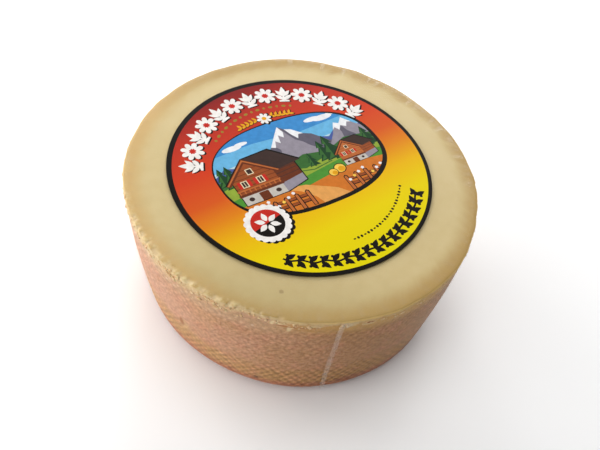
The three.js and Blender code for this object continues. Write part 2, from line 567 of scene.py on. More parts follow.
# %% Colours of paste and rind
PASTE_PALE = linear(196, 177, 129)
PASTE_GOLD = linear(168, 138, 82)
PASTE_AMBER = linear(192, 160, 104)
# The next colour is painted shade for the front of the paste.
PASTE_FRONT_SHADE = linear(160, 142, 94)
RIND_PINK = linear(187, 140, 111)
RIND_GOLD = linear(177, 134, 85)
# The next colour is the rind's brown towards the right, partly its own colour and partly painted shade.
RIND_BROWN_AND_SHADE = linear(149, 105, 54)
RIND_RED = linear(166, 98, 74)
# The next colour is a darker copy of the red edge, painted shade on the right.
RIND_RED_SHADED = linear(132, 74, 50)
RIND_FLUSH = linear(186, 123, 95)
TORN_PALE = linear(206, 184, 140)
TORN_GOLD = linear(190, 157, 108)
TORN_TAN = linear(196, 156, 88)
# The next two colours are a painted highlight on the lip of the cut edge.
LIP_HIGHLIGHT_GOLD = linear(216, 181, 114)
LIP_HIGHLIGHT_PALE = linear(218, 194, 154)
MOULD = linear(212, 196, 172)
BLEMISH_ORANGE = linear(170, 115, 60)
# The next colour is a rusty stain on the side, and under the torn shreds it is painted shadow.
RUST_STAIN_AND_GROOVE_SHADE = linear(146, 84, 40)
# The next colour is a dark stain on the rind, and in the paste's eye it is painted shade of a hole.
DARK_STAIN_AND_HOLE_SHADE = linear(94, 57, 28)
FLAKE_CREAM = linear(214, 197, 150)
# The next colour is painted shade in small pits between the flakes.
PIT_SHADE_GOLD = linear(150, 116, 58)
print("pale paste:", [round(c, 3) for c in PASTE_PALE])

# %% [markdown]
# The paste is ivory in the middle and darkens to a waxy gold in its last few millimetres, where the cheese
# has dried. That border isn't a plain circle: soft clouds and slanting streaks push it in and out. The gold
# is nearer amber at the left. Towards the front the paste darkens to olive, which is painted shade. One
# small eye in the paste, a hole, is painted as a dark spot of shade.

# %% Paste
cheese_material, t, surface = new_material("paste_and_rind")
at = own_place(t)
parts, flat, radius = round_the_axis(t, at)


def wobble(scale, most, shift=0.0):
    """A soft noise of at most `most` either way, to unsettle the borders of a colour."""
    return product(t, maths(t, "SUBTRACT", noise(t, at, scale, 3, 0.6, shift), 0.5), 2 * most)


cloudy = wobble(110, 1.6 * MM)
slant = {"Vector": vectors(t, "NORMALIZE", flat), "Angle": product(t, radius, 12.0)}
heading = add(t, "ShaderNodeVectorRotate", slant, rotation_type="Z_AXIS").outputs[0]
heading = vectors(t, "ADD", heading, combine(t, z=product(t, radius, 3.0)))
streaks = product(t, maths(t, "SUBTRACT", noise(t, heading, 24, 3, 0.6, 3), 0.5), 9 * MM)
pulled = ranged(t, eased(t, towards(t, parts, 0.9, 0.42), 28 * MM, 48 * MM), 0.65, 0.2)
unsettled = maths(t, "ADD", cloudy, product(t, streaks, pulled))
unsettled = ranged(t, eased(t, parts["Y"], 10 * MM, 50 * MM), 1.0 * MM, unsettled)
unsettled = ranged(t, eased(t, parts["X"], 10 * MM, 45 * MM), -0.8 * MM, unsettled)
dried = eased(t, maths(t, "ADD", radius, unsettled), 46.2 * MM, 52.6 * MM)

amber = eased(t, towards(t, parts, -0.94, 0.34), 20 * MM, 46 * MM)
paste = mixed(t, dried, PASTE_PALE, mixed(t, amber, PASTE_GOLD, PASTE_AMBER))
mottle = eased(t, noise(t, at, 260, 4), 0.3, 0.7)
paste = mixed(t, product(t, mottle, 0.14), paste, PASTE_GOLD)
# Towards the front the paste darkens to olive: painted shade.
olive = eased(t, towards(t, parts, -0.64, -0.77), 30 * MM, 52 * MM)
paste = mixed(t, product(t, olive, ranged(t, dried, -0.35, 0.5)), paste, PASTE_FRONT_SHADE)

EYE_AT = (-28.9 * MM, -34.5 * MM, 0)
# The eye is a hole, shown only as a dark spot of painted shade.
eye_shade = maths(t, "ADD", vectors(t, "DISTANCE", flat, EYE_AT), wobble(900, 0.5 * MM))
paste = mixed(t, product(t, eased(t, eye_shade, 0.8 * MM, 0.3 * MM), 0.35), paste, DARK_STAIN_AND_HOLE_SHADE)
print("paste:", len(t.nodes), "nodes")

# %% [markdown]
# At the left the knife has lifted pale flakes off the edge of the paste. The darker gold spots between them
# are painted shade of small pits. All round, the last third of a millimetre turns over into a lip, which a
# painted highlight lightens: pale at the left and golden at the front right.

# %% Flakes and lip
flaky = eased(t, maths(t, "ADD", towards(t, parts, -0.966, -0.259), cloudy), 41 * MM, 51 * MM)
flaky = product(t, flaky, eased(t, noise(t, at, 90, 2, 0.5, 34), 0.3, 0.55))
at_edge = eased(t, maths(t, "ADD", radius, wobble(260, 1.6 * MM, 31)), 51.7 * MM, 53.0 * MM)
flaky = product(t, flaky, at_edge)
cream = product(t, flaky, eased(t, noise(t, at, 560, 4, 0.65, 32), 0.4, 0.62), 0.62)
paste = mixed(t, cream, paste, FLAKE_CREAM)
# Darker gold spots between the flakes are painted shade of small pits.
pit_shade = product(t, flaky, eased(t, noise(t, at, 520, 3, 0.6, 33), 0.6, 0.7), 0.7)
paste = mixed(t, pit_shade, paste, PIT_SHADE_GOLD)

front_right = eased(t, towards(t, parts, 0.5, -0.87), 12 * MM, 40 * MM)
# The lip on the rounded cut edge gets a painted highlight, pale at the left and golden at the front right.
lip_highlight = product(t, eased(t, parts["Z"], 45.66 * MM, 45.45 * MM), ranged(t, front_right, 0.5, 0.45))
paste = mixed(t, lip_highlight, paste, mixed(t, front_right, LIP_HIGHLIGHT_PALE, LIP_HIGHLIGHT_GOLD))
print("flakes and lip:", len(t.nodes), "nodes so far")

# %% [markdown]
# The rind is pinkish, golden low down and high up, and reddish on the base's worn edge. Towards the right it
# turns brown, partly its own colour and partly painted shade, and there the red edge darkens too, as painted
# shade. Each colour gets its own band of heights or its own side, with a wobble on the border. The stored
# imprint then lightens its raised spots and darkens its dips, partly the rind's own colour and partly painted
# relief shade, which grows towards the shaded right. A fine noise gives the dry grain.

# %% Rind colours from the base up
rise = maths(t, "ADD", parts["Z"], wobble(150, 3 * MM, 4))
low_gold = eased(t, rise, 22 * MM, 12 * MM)
high_gold = product(t, eased(t, rise, 33 * MM, 42 * MM), 0.7)
patches = product(t, eased(t, noise(t, at, 60, 4, 0.55, 7), 0.4, 0.65), 0.5)
golden = maths(t, "MAXIMUM", maths(t, "MAXIMUM", low_gold, high_gold), patches)
rind = mixed(t, golden, RIND_PINK, RIND_GOLD)
# Towards the right the rind turns brown: partly its own colour, partly painted shade of the side away from
# the light.
brown_and_shade = eased(t, maths(t, "ADD", towards(t, parts, 0.75, -0.6), cloudy), -22 * MM, 32 * MM)
brown_and_shade = product(t, brown_and_shade, 0.75)
rind = mixed(t, brown_and_shade, rind, RIND_BROWN_AND_SHADE)
worn = ranged(t, brown_and_shade, -1.5 * MM, maths(t, "ADD", rise, wobble(70, 2 * MM)))
worn = product(t, eased(t, worn, 8.2 * MM, 4.2 * MM), 0.75)
# There the red edge darkens to a shaded copy of itself, which is painted shade.
rind = mixed(t, worn, rind, mixed(t, brown_and_shade, RIND_RED, RIND_RED_SHADED))
blotches = product(t, eased(t, noise(t, at, 210, 3, 0.5, 15), 0.46, 0.66), 0.35)
rind = mixed(t, blotches, rind, RIND_FLUSH)

WEAVE_SHADE_STOPS = [(0.1, (0.67, 0.64, 0.58, 1)), (0.5, (0.98, 0.98, 0.98, 1)), (0.9, (1.4, 1.4, 1.38, 1))]
GRAIN_STOPS = [(0, (0.73, 0.69, 0.64, 1)), (1, (1.25, 1.28, 1.32, 1))]
spots = attribute(t, "imprint")
# The imprint lightens raised spots and darkens dips: partly the rind's own colour, partly painted relief
# shade that grows towards the shaded right.
weave = ranged(t, spots, ranged(t, brown_and_shade, 0.15, 0.48), 0.5)
rind = mixed(t, 1.0, rind, ramp(t, weave, WEAVE_SHADE_STOPS), "MULTIPLY")
fine = eased(t, noise(t, at, 1050, 3, 0.65, 2), 0.3, 0.7)
rind = mixed(t, 1.0, rind, ramp(t, fine, GRAIN_STOPS), "MULTIPLY")
print("rind:", len(t.nodes), "nodes so far")

# %% [markdown]
# Dry white mould sits on the raised spots high up at the left. The rind also has single stains. They could be
# painted by hand, but a table of places and sizes is easier to read: each row is one soft oval, given by its
# angle round the wheel, its height, its half width and half height in millimetres, its strength and colour.

# %% Mould and stains
SIDE_RADIUS = 51.5 * MM
STAIN_REACH = 8 * MM  # a stain doesn't show through on the far side

high_band = eased(t, parts["Z"], 36 * MM, 40 * MM)
facing_left = eased(t, maths(t, "ADD", towards(t, parts, -0.94, -0.34), cloudy), 40 * MM, 49 * MM)
light_spot = eased(t, spots, 0.05, 0.8)
mouldy = product(t, ranged(t, light_spot, 0.85, 0.15), high_band, facing_left)
specks = eased(t, noise(t, at, 1000, 3, 0.6, 12), 0.62, 0.7)
specks = product(t, specks, ranged(t, facing_left, 0.3, 0.2))
mouldy = maths(t, "MAXIMUM", mouldy, product(t, specks, high_band))
rind = mixed(t, mouldy, rind, MOULD)


def stain_cover(angle, level, wide, tall):
    """How much of a stain at this angle and height on the side covers a point."""
    c, s = math.cos(math.radians(angle)), math.sin(math.radians(angle))
    away = vectors(t, "SUBTRACT", at, (SIDE_RADIUS * c, SIDE_RADIUS * s, level))
    beside = maths(t, "ADD", vectors(t, "DOT_PRODUCT", away, (-s, c, 0)), wobble(500, 0.4 * MM))
    beside = maths(t, "DIVIDE", beside, wide)
    up = maths(t, "DIVIDE", separate(t, away)["Z"], tall)
    near = maths(t, "ABSOLUTE", vectors(t, "DOT_PRODUCT", away, (c, s, 0)))
    near = maths(t, "LESS_THAN", near, STAIN_REACH)
    spread = maths(t, "ADD", product(t, beside, beside), product(t, up, up))
    return product(t, eased(t, spread, 1.0, 0.1), near)


def stained(colour, stains):
    for angle, level, wide, tall, strength, stain in stains:
        cover = stain_cover(angle, level * MM, wide * MM, tall * MM)
        colour = mixed(t, product(t, cover, strength), colour, stain)
    return colour


SIDE_STAINS = (
    (-161, 17.5, 2.6, 4.5, 0.45, TORN_GOLD),
    (-162, 18.5, 1.2, 3.2, 0.8, RUST_STAIN_AND_GROOVE_SHADE),
    (-171, 33, 0.9, 1.6, 0.5, BLEMISH_ORANGE),
    (-133, 6.6, 1.0, 1.1, 1.0, DARK_STAIN_AND_HOLE_SHADE),
    (-121, 43.0, 10.0, 2.4, 0.45, BLEMISH_ORANGE),
    (-60, 25, 1.2, 1.4, 0.5, DARK_STAIN_AND_HOLE_SHADE),
    (20, 14, 0.9, 2.2, 0.6, BLEMISH_ORANGE),
    (60, 42.6, 7.0, 2.0, 0.5, BLEMISH_ORANGE),
    (95, 30, 1.3, 1.0, 0.4, DARK_STAIN_AND_HOLE_SHADE),
)
rind = stained(rind, SIDE_STAINS)
print("stains on the side:", len(SIDE_STAINS))

# %% [markdown]
# Just under the cut the rind is torn, and its inside shows: pale and golden at the back left, tan at the
# front right. The stored torn band is palest. A second table adds single tears at the front: pale shreds,
# and below some of them a darker rusty line, which is painted shadow of the shred.

# %% Torn band
# Rusty lines under the pale shreds are painted shadow of the shreds.
TORN_STAINS = (
    (-126, 41.6, 0.8, 2.0, 0.9, TORN_PALE),
    (-129, 43.4, 3.0, 0.6, 0.7, TORN_PALE),
    (-127, 42.6, 3.4, 0.45, 0.6, RUST_STAIN_AND_GROOVE_SHADE),
    (-119, 43.9, 3.2, 0.6, 0.7, TORN_PALE),
    (-121, 43.0, 3.6, 0.45, 0.6, RUST_STAIN_AND_GROOVE_SHADE),
    (-108, 44.1, 2.0, 1.3, 0.65, TORN_PALE),
    (-103, 43.4, 2.6, 1.2, 0.7, TORN_PALE),
    (-103, 43.6, 2.0, 0.6, 0.9, RUST_STAIN_AND_GROOVE_SHADE),
)
far_left = eased(t, maths(t, "ADD", towards(t, parts, -0.7, 0.45), cloudy), 8 * MM, 38 * MM)
uneven_level = maths(t, "ADD", parts["Z"], wobble(300, 2.0 * MM, 6))
torn_gold = eased(t, ranged(t, far_left, 3.0 * MM, uneven_level), 43.4 * MM, 45.4 * MM)
torn_gold = product(t, torn_gold, ranged(t, far_left, 0.35, 0.5))
rind = mixed(t, torn_gold, rind, mixed(t, fine, TORN_GOLD, TORN_PALE))
torn_tan = product(t, eased(t, uneven_level, 38.0 * MM, 43.5 * MM), product(t, front_right, 0.75))
rind = mixed(t, torn_tan, rind, TORN_TAN)
rind = mixed(t, product(t, attribute(t, "torn"), 0.7), rind, TORN_PALE)
rind = stained(rind, TORN_STAINS)
print("tears at the front:", len(TORN_STAINS))

# %% [markdown]
# Paste turns into rind along a ragged line just under the cut. The paste is smoother than the rind, and both
# let a little light in under the surface, which gives them their soft, fatty look.

# %% From paste to rind
ragged_level = maths(t, "ADD", parts["Z"], product(t, noise(t, at, 480), 1.2 * MM))
is_rind = eased(t, maths(t, "SUBTRACT", height, ragged_level), -0.05 * MM, 0.25 * MM)
colour = mixed(t, is_rind, paste, rind)
grain = noise(t, at, 2600, 3, 0.6)
roughness = ranged(t, is_rind, 0.22, ranged(t, grain, 0.15, 0.42))
look = {"Base Color": colour, "Roughness": roughness, "Normal": bumped(t, grain, 0.35, 0.12 * MM)}
look |= {"Specular IOR Level": 0.15, "Subsurface Weight": 0.06, "Subsurface Scale": 1.0 * MM}
look["Subsurface Radius"] = (1.0, 0.6, 0.3)
t.links.new(add(t, "ShaderNodeBsdfPrincipled", look).outputs[0], surface)
run_tree(cheese, imprint_tree, {"Finish": cheese_material})

# %% [markdown]
# ## Crumbs of the torn edge
#
# A knife can't cut dry rind cleanly, so little crumbs hang on just under the cut edge, most of them at the
# front left and the largest at the left. They are many copies of one small lump, so Geometry Nodes scatter
# them: points are spread over the faces of that narrow band, and each gets a lump of its own size and turn,
# pressed flat by the film. On the real cheese they belong to the rind, but a piece of their own keeps them
# easy to change.

# %% Where the crumbs lie
crumb_tree, given, result = new_tree(
    "crumbs under the cut",
    {
        "Crumb Width": ("Float", 0.95 * MM),
        "Crumb Thickness": ("Float", 0.36 * MM),
        "Least Gap": ("Float", 0.85 * MM),
        "Highest": ("Float", 45.2 * MM),
        "Thin Band": ("Float", 0.7 * MM),
        "Wide Band": ("Float", 4.0 * MM),
        "Seed": ("Int", 11),
        "Finish": ("Material", None),
    },
)
MOST_CRUMBS = 900000  # per square metre
t = crumb_tree
place = add(t, "GeometryNodeInputPosition").outputs[0]
parts = separate(t, place)
broken = add(t, "ShaderNodeTexNoise", {"Vector": place, "Scale": 170.0, "Detail": 2.0}).outputs[0]
front_left = eased(t, towards(t, parts, -0.77, -0.64), 8 * MM, 50 * MM)
band = product(t, front_left, eased(t, broken, 0.25, 0.75, smooth=False))
band = ranged(t, band, given["Wide Band"], given["Thin Band"])
low_enough = maths(t, "LESS_THAN", parts["Z"], given["Highest"])
high_enough = maths(t, "GREATER_THAN", parts["Z"], maths(t, "SUBTRACT", given["Highest"], band))
where = {"Mesh": given["Geometry"], "Selection": product(t, low_enough, high_enough)}
where |= {"Distance Min": given["Least Gap"], "Seed": given["Seed"]}
spread = add(t, "GeometryNodeDistributePointsOnFaces", where, distribute_method="POISSON")
spread.inputs["Density Max"].default_value = MOST_CRUMBS
print("crumb band:", len(t.nodes), "nodes so far")

# %% A lump on every point
MOST_ROUGH = 0.7 * MM
lump = add(t, "GeometryNodeMeshIcoSphere", {"Radius": 0.5, "Subdivisions": 2}).outputs["Mesh"]


def random_between(low, high, salt):
    made = add(t, "FunctionNodeRandomValue", data_type="FLOAT")
    made.inputs[2].default_value, made.inputs[3].default_value = low, high
    t.links.new(maths(t, "ADD", given["Seed"], salt), made.inputs["Seed"])
    return made.outputs[1]


few_large = ranged(t, maths(t, "POWER", random_between(0, 1, 1), 3.0), 1.4, 0.5)
larger_left = ranged(t, eased(t, towards(t, parts, -0.88, -0.3), 36 * MM, 46 * MM), 0.9, 0.8)
width = product(t, given["Crumb Width"], product(t, few_large, larger_left))
tall = product(t, width, random_between(0.5, 0.95, 2))
WHOLE_TURN = 6.28
spin = {"Rotation": spread.outputs["Rotation"], "Rotate By": combine(t, z=random_between(0, WHOLE_TURN, 3))}
turned = add(t, "FunctionNodeRotateRotation", spin, rotation_space="LOCAL")
lumps = {"Points": spread.outputs["Points"], "Instance": lump, "Rotation": turned.outputs[0]}
lumps["Scale"] = combine(t, width, tall, given["Crumb Thickness"])
lumps = add(t, "GeometryNodeInstanceOnPoints", lumps).outputs[0]
real = add(t, "GeometryNodeRealizeInstances", {"Geometry": lumps}).outputs[0]
place = add(t, "GeometryNodeInputPosition").outputs[0]
rough = add(t, "ShaderNodeTexNoise", {"Vector": place, "Scale": 1500.0}).outputs["Color"]
rough = vectors(t, "SCALE", vectors(t, "SUBTRACT", rough, (0.5, 0.5, 0.5)), scale=MOST_ROUGH)
roughened = add(t, "GeometryNodeSetPosition", {"Geometry": real, "Offset": rough}).outputs[0]
smooth = add(t, "GeometryNodeSetShadeSmooth", {"Geometry": roughened}).outputs[0]
end_tree(t, smooth, given["Finish"], result)
print("crumb tree:", len(t.nodes), "nodes")

# %% Crumb material and piece
crumb_material, t, surface = new_material("torn_rind")
at = own_place(t)
mottle = eased(t, noise(t, at, 700, 3), 0.3, 0.7)
colour = mixed(t, mottle, linear(184, 138, 84), linear(214, 186, 138))
look = {"Base Color": colour, "Normal": bumped(t, noise(t, at, 3000), 0.3, 0.1 * MM)}
look |= {"Roughness": 0.55, "Subsurface Weight": 0.2, "Subsurface Scale": 1.5 * MM}
t.links.new(add(t, "ShaderNodeBsdfPrincipled", look).outputs[0], surface)

crumbs = bpy.data.objects.new("crumbs", cheese.data.copy())
bpy.context.scene.collection.objects.link(crumbs)
crumbs.data.materials.clear()
run_tree(crumbs, crumb_tree, {"Finish": crumb_material})

# %% [markdown]
# ## Shrink film
#
# Clear film covers the cheese all over. It is a closed skin two hundredths of a millimetre inside the packed
# outside. Where the film has shrunk over the cut edge it has gathered into fine pleats, which run towards
# the middle of the face and fade after a few millimetres, and are deepest at the right rear. Their places
# follow a noise round the rim, so a Geometry Nodes tree presses them into the skin and stores them for the
# material.

# %% Film skin
FILM_COLUMNS = 888
FILM_RISE = 1.5 * MM
FILM_TOP = (51.5, 51, 50.5, 50, 49.5, 49, 48.5, 48, 47.4, 46.6, 45.6, 44.2)  # radii in mm of its top rows
FILM_FACE_RINGS = (42, 38, 30, 18)  # mm
FILM_INSIDE = 0.02 * MM

outside = smoothed(over_the_seam(skin(side_rays(FILM_RISE, FILM_TOP), FILM_COLUMNS)), SMOOTH_REACH)
film_skin = closed_skin(inwards(outside, FILM_INSIDE), FILM_FACE_RINGS, BASE_RINGS, FILM_INSIDE)
film = new_piece("shrink_film", *film_skin)
print("film:", len(film.data.vertices), "points")

# %% Film pleats
pleat_tree, given, result = new_tree(
    "film pleats",
    {
        "Cut Radius": ("Float", 54 * MM),
        "Cut Height": ("Float", height),
        "Pleats Round": ("Float", 150.0),
        "Pleat Depth": ("Float", 0.18 * MM),
        "Pleat Length": ("Float", 8 * MM),
        "Seed": ("Float", 6.0),
        "Finish": ("Material", None),
    },
)
PLEAT_WANDER = 60.0  # per metre: how fast the noise changes along a pleat
t = pleat_tree
place = add(t, "GeometryNodeInputPosition").outputs[0]
parts, flat, radius = round_the_axis(t, place)
heads = separate(t, vectors(t, "NORMALIZE", flat))
inward = maths(t, "SUBTRACT", given["Cut Radius"], radius)
from_edge = maths(t, "MAXIMUM", inward, maths(t, "SUBTRACT", given["Cut Height"], parts["Z"]))
finely = maths(t, "DIVIDE", given["Pleats Round"], 2 * math.pi)
slowly = product(t, from_edge, PLEAT_WANDER)
where = combine(t, product(t, heads["X"], finely), product(t, heads["Y"], finely), slowly)
folds = eased(t, noise(t, where, 1.0, 1, 0.5, given["Seed"]), 0.46, 0.66)
lengths = noise(t, where, 0.35, 1, 0.5, given["Seed"])
reach = product(t, given["Pleat Length"], ranged(t, lengths, 1.5, -0.1))
fade = eased(t, from_edge, reach, 0.6 * MM)
where_pulled = ranged(t, eased(t, towards(t, heads, 0.9, 0.42), 0.35, 0.95), 0.75, 0.2)
pleat = product(t, folds, fade, where_pulled)
drop = product(t, pleat, product(t, given["Pleat Depth"], -1.0))
shape = store(t, given["Geometry"], "pleat", pleat)
end_tree(t, along_normal(t, shape, drop), given["Finish"], result)
print("pleat tree:", len(t.nodes), "nodes")

# %% [markdown]
# The film must let the cheese show and still mirror the room. So its material mixes see-through with a bare
# reflection, which grows towards a grazing view as on any clear sheet, and adds a trace of milky haze in the
# pleats. The growth is worked out from Layer Weight's Facing, which is the same from both sides. A Fresnel
# node isn't, and would shut in most of the light that leaves the cheese.

# %% Film material
film_material, t, surface = new_material("clear_shrink_film")
at = own_place(t)
crinkle = bumped(t, noise(t, at, 240, 4, 0.6), 0.25, 0.3 * MM)
gloss = {"Normal": crinkle, "Metallic": 1.0, "Roughness": 0.2, "Base Color": (1, 1, 1, 1)}
gloss = add(t, "ShaderNodeBsdfPrincipled", gloss).outputs[0]
milky = add(t, "ShaderNodeBsdfDiffuse", {"Color": linear(250, 238, 214)}).outputs[0]
clear = add(t, "ShaderNodeBsdfTransparent").outputs[0]
facing = add(t, "ShaderNodeLayerWeight", {"Blend": 0.5, "Normal": crinkle}).outputs["Facing"]
mirrors = ranged(t, maths(t, "POWER", facing, 4.0), 0.13, 0.005)
haze = ranged(t, attribute(t, "pleat"), 0.3, 0.004)
hazy = add(t, "ShaderNodeMixShader", {0: haze, 1: clear, 2: milky}).outputs[0]
glossy = add(t, "ShaderNodeMixShader", {0: mirrors, 1: hazy, 2: gloss}).outputs[0]
t.links.new(glossy, surface)
film.data.materials.clear()
run_tree(film, pleat_tree, {"Finish": film_material})

# %% [markdown]
# ## Welded seam
#
# The film was closed round the cheese by a weld that runs down the side. It is a narrow flat strip that
# follows the film from the cut edge to the base, wavers a little, and is twice as wide in a short tab at its
# top. A strip modelled in place would have to be fitted by hand. Instead a Geometry Nodes tree takes a flat
# grid, wraps it to the seam's place on the side, and lays it on the film by shooting a ray for each point.

# %% Flat strip
STEPS_ACROSS, STEPS_UP = 8, 110
STRIP_BACK = -0.15  # the strip's back, in its own thickness, lies a little inside the film
points, faces = [], []
for row in range(STEPS_UP + 1):
    along = row / STEPS_UP - 0.5
    points += [(i / STEPS_ACROSS - 0.5, along, 1.0) for i in range(STEPS_ACROSS + 1)]
    points += [(0.5 - i / STEPS_ACROSS, along, STRIP_BACK) for i in range(1, STEPS_ACROSS)]
ring = 2 * STEPS_ACROSS
for row in range(STEPS_UP):
    low, high = row * ring, (row + 1) * ring
    faces += [(low + i, low + (i + 1) % ring, high + (i + 1) % ring, high + i) for i in range(ring)]
faces.append(tuple(reversed(range(ring))))
faces.append(tuple(range(STEPS_UP * ring, (STEPS_UP + 1) * ring)))
seam = new_piece("film_seam", points, faces)
print("strip:", len(points), "points")

# %% Wrap the seam
seam_tree, given, result = new_tree(
    "seam on the film",
    {
        "Film": ("Object", None),
        "Angle": ("Float", SEAM_ANGLE),
        "Bow": ("Float", SEAM_BOW),
        "Width": ("Float", 2.0 * MM),
        "Thickness": ("Float", 0.35 * MM),
        "Tab Height": ("Float", 2.0 * MM),
        "Top": ("Float", 45.6 * MM),
        "Foot": ("Float", 1.2 * MM),
        "Cut Height": ("Float", height),
        "Base Lean X": ("Float", BASE_LEAN[0]),
        "Base Lean Y": ("Float", BASE_LEAN[1]),
        "Finish": ("Material", None),
    },
)
SEAM_RADIUS = 53 * MM  # turns the seam's width into an angle
TAB_END = 0.4 * MM
WAVER, WAVERS = 0.004, 160.0  # radians, and bends per metre
t = seam_tree
place = add(t, "GeometryNodeInputPosition").outputs[0]
parts = separate(t, place)
share = maths(t, "ADD", parts["Y"], 0.5)
level = ranged(t, share, maths(t, "SUBTRACT", given["Top"], given["Foot"]), given["Foot"])
how_high = maths(t, "DIVIDE", level, given["Cut Height"])
bow = product(t, given["Bow"], maths(t, "SINE", product(t, how_high, math.pi)))
waver = add(t, "ShaderNodeTexNoise", {"W": product(t, level, WAVERS)}, noise_dimensions="1D").outputs[0]
waver = product(t, maths(t, "SUBTRACT", waver, 0.5), WAVER)
below_top = maths(t, "SUBTRACT", given["Top"], level)
tab = eased(t, below_top, given["Tab Height"], maths(t, "SUBTRACT", given["Tab Height"], TAB_END))
widened = product(t, given["Width"], ranged(t, tab, 1.0, 1.0))
across = product(t, ranged(t, tab, 0.3, parts["X"]), maths(t, "DIVIDE", widened, SEAM_RADIUS))
angle = maths(t, "ADD", maths(t, "SUBTRACT", given["Angle"], bow), maths(t, "ADD", across, waver))
lean = maths(t, "SUBTRACT", 1.0, how_high)
axis_x = product(t, given["Base Lean X"], lean)
axis_y = product(t, given["Base Lean Y"], lean)
print("seam at", round(math.degrees(SEAM_ANGLE), 1), "degrees")

# %% Lay the seam on the film
aim = combine(t, maths(t, "COSINE", angle), maths(t, "SINE", angle))
film_shape = add(t, "GeometryNodeObjectInfo", {"Object": given["Film"]}).outputs["Geometry"]
shot = {"Target Geometry": film_shape, "Source Position": combine(t, axis_x, axis_y, level)}
shot |= {"Ray Direction": aim, "Ray Length": 1.0}
hit = add(t, "GeometryNodeRaycast", shot).outputs["Hit Position"]
aside = product(t, maths(t, "ABSOLUTE", parts["X"]), 2.0)
rounded = maths(t, "SUBTRACT", 1.0, maths(t, "POWER", aside, 4.0))
proud = product(t, given["Thickness"], rounded, parts["Z"])
final = vectors(t, "ADD", hit, vectors(t, "SCALE", aim, scale=proud))
soft_edge = maths(t, "SUBTRACT", 1.0, maths(t, "POWER", aside, 2.0))
shape = store(t, given["Geometry"], "weld", product(t, soft_edge, ranged(t, tab, 0.5, 1.0)))
shape = add(t, "GeometryNodeSetPosition", {"Geometry": shape, "Position": final}).outputs[0]
end_tree(t, shape, given["Finish"], result)
print("seam tree:", len(t.nodes), "nodes")

# %% [markdown]
# The weld is film melted to film, so it is milky and streaked, and its edges are clear. The material mixes a
# pale body into see-through by the cover that the tree has stored for each point.

# %% Seam material
seam_material, t, surface = new_material("milky_weld")
at = own_place(t)
streaks = noise(t, at, 220, 3)
body = {"Normal": bumped(t, noise(t, at, 1100), 0.4, 0.2 * MM), "Roughness": 0.4}
body["Base Color"] = linear(238, 222, 206)
body = add(t, "ShaderNodeBsdfPrincipled", body).outputs[0]
cover = product(t, ranged(t, eased(t, streaks, 0.3, 0.7), 0.1, 0.08), attribute(t, "weld"))
clear = add(t, "ShaderNodeBsdfTransparent").outputs[0]
t.links.new(add(t, "ShaderNodeMixShader", {0: cover, 1: clear, 2: body}).outputs[0], surface)
run_tree(seam, seam_tree, {"Film": film, "Finish": seam_material})

# %% [markdown]
# ## Printed label
#
# The label is thin matt paper, stuck on the film. Its print is built from flat fields of colour. Every
# field is an outline, and they lie over one another as sheets of coloured paper would. A constrained
# triangulation cuts the label's top along all outlines at once, and each small face then takes the colour
# of the uppermost field that covers it. The result is one flat closed mesh without any stacked layers.
#
# The layout is a plain country one: a black ring, a field that runs from red to yellow, white flowers and
# leaf sprays round the top, a mountain farm in the middle, and a black leaf scroll at the foot.

# %% Outlines to draw with


def polar(radius, degrees):
    return radius * math.cos(math.radians(degrees)), radius * math.sin(math.radians(degrees))


def oval(x, y, wide, high, count=24, power=2.0):
    """An oval about (x, y). A power above 2 squares it off."""
    points = []
    for i in range(count):
        c, s = polar(1, 360 * i / count)
        points.append((
            x + wide * math.copysign(abs(c) ** (2 / power), c),
            y + high * math.copysign(abs(s) ** (2 / power), s),
        ))
    return points


def flower(petals, outer, inner, steps=6):
    count = petals * steps
    points = []
    for i in range(count):
        wave = abs(math.cos(math.pi * i / steps)) ** 0.7
        points.append(polar(inner + (outer - inner) * wave, 90 + 360 * i / count))
    return points


def leaf(x, y, turn, length, width, steps=6):
    """A pointed leaf that starts at (x, y) and grows up, turned by `turn` degrees."""
    right = []
    for i in range(steps + 1):
        right.append((0.5 * width * math.sin(math.pi * (i / steps) ** 0.85), length * i / steps))
    points = right + [(-a, b) for a, b in reversed(right[1:-1])]
    return moved(points, x, y, turn)


def moved(points, x, y, turn=0.0, size=1.0):
    c, s = polar(size, turn)
    return [(x + a * c - b * s, y + a * s + b * c) for a, b in points]


def line(points, width):
    """Short four-cornered strokes along the points, which overlap a little at the bends."""
    strokes = []
    for (ax, ay), (bx, by) in zip(points, points[1:]):
        length = math.hypot(bx - ax, by - ay)
        dx, dy = 0.5 * width * (bx - ax) / length, 0.5 * width * (by - ay) / length
        ax, ay, bx, by = ax - 0.4 * dx, ay - 0.4 * dy, bx + 0.4 * dx, by + 0.4 * dy
        strokes.append([(ax + dy, ay - dx), (bx + dy, by - dx), (bx - dy, by + dx), (ax - dy, ay + dx)])
    return strokes


print("outline helpers ready")

# %% [markdown]
# Each field is kept as the name of its ink, its outline in millimetres about the label's middle, and whether
# it belongs to the picture. Their order matters, because a later field covers an earlier one. The inks are
# listed once by name, so that one number changes a colour all over the label.

